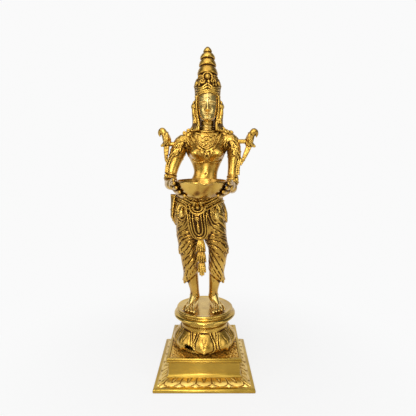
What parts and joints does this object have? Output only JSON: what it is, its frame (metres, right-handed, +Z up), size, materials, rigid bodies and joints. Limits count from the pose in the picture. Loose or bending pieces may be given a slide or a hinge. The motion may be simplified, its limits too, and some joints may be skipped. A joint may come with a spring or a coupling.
{
  "type": "deepalakshmi lamp",
  "caption": "Standing cast brass figure on a square lotus pedestal that holds an oil lamp bowl in both hands, with a parrot at each upper arm.",
  "frame": {"origin": "middle of the plinth's square foot, on the surface it stands on", "axes": "+Z up, the figure faces -Y, +X to the right of a viewer in front"},
  "size_m": [0.1897, 0.1976, 0.608],
  "materials": {
    "polished_brass": "cast, chased and polished, dark in the recesses",
    "satin_brass": "cast and filed, satin",
    "bowl_brass": "turned and polished",
    "steel": "plain, hidden inside"
  },
  "bodies": {
    "statue": {"foot_slab": "satin_brass", "petal_course": "polished_brass", "plinth_block": "satin_brass", "lotus_base": "polished_brass", "pedestal_disc": "satin_brass", "tie_stud": "steel", "tie_washer": "steel", "tie_nut": "steel", "foot_bolts": "steel", "lower_body": "polished_brass", "girdle": "polished_brass", "girdle_clasp": "polished_brass", "apron_sash": "polished_brass", "hanging_tassel": "polished_brass", "hip_sash": "polished_brass", "waist_dowel": "steel", "torso": "polished_brass", "necklace": "polished_brass", "left_arm": "polished_brass", "right_arm": "polished_brass", "arm_dowels": "steel", "left_parrot": "polished_brass", "right_parrot": "polished_brass", "parrot_pins": "steel", "neck_dowel": "steel", "head": "polished_brass", "left_ear_drop": "polished_brass", "right_ear_drop": "polished_brass", "crown_dowel": "steel", "crown": "polished_brass"},
    "bowl": {"oil_bowl": "bowl_brass"}
  },
  "joints": [
    {"name": "bowl_lift", "type": "slide", "parent": "statue", "child": "bowl", "axis": [0, -0.5, 0.866], "range_m": [0, 0.06]}
  ]
}
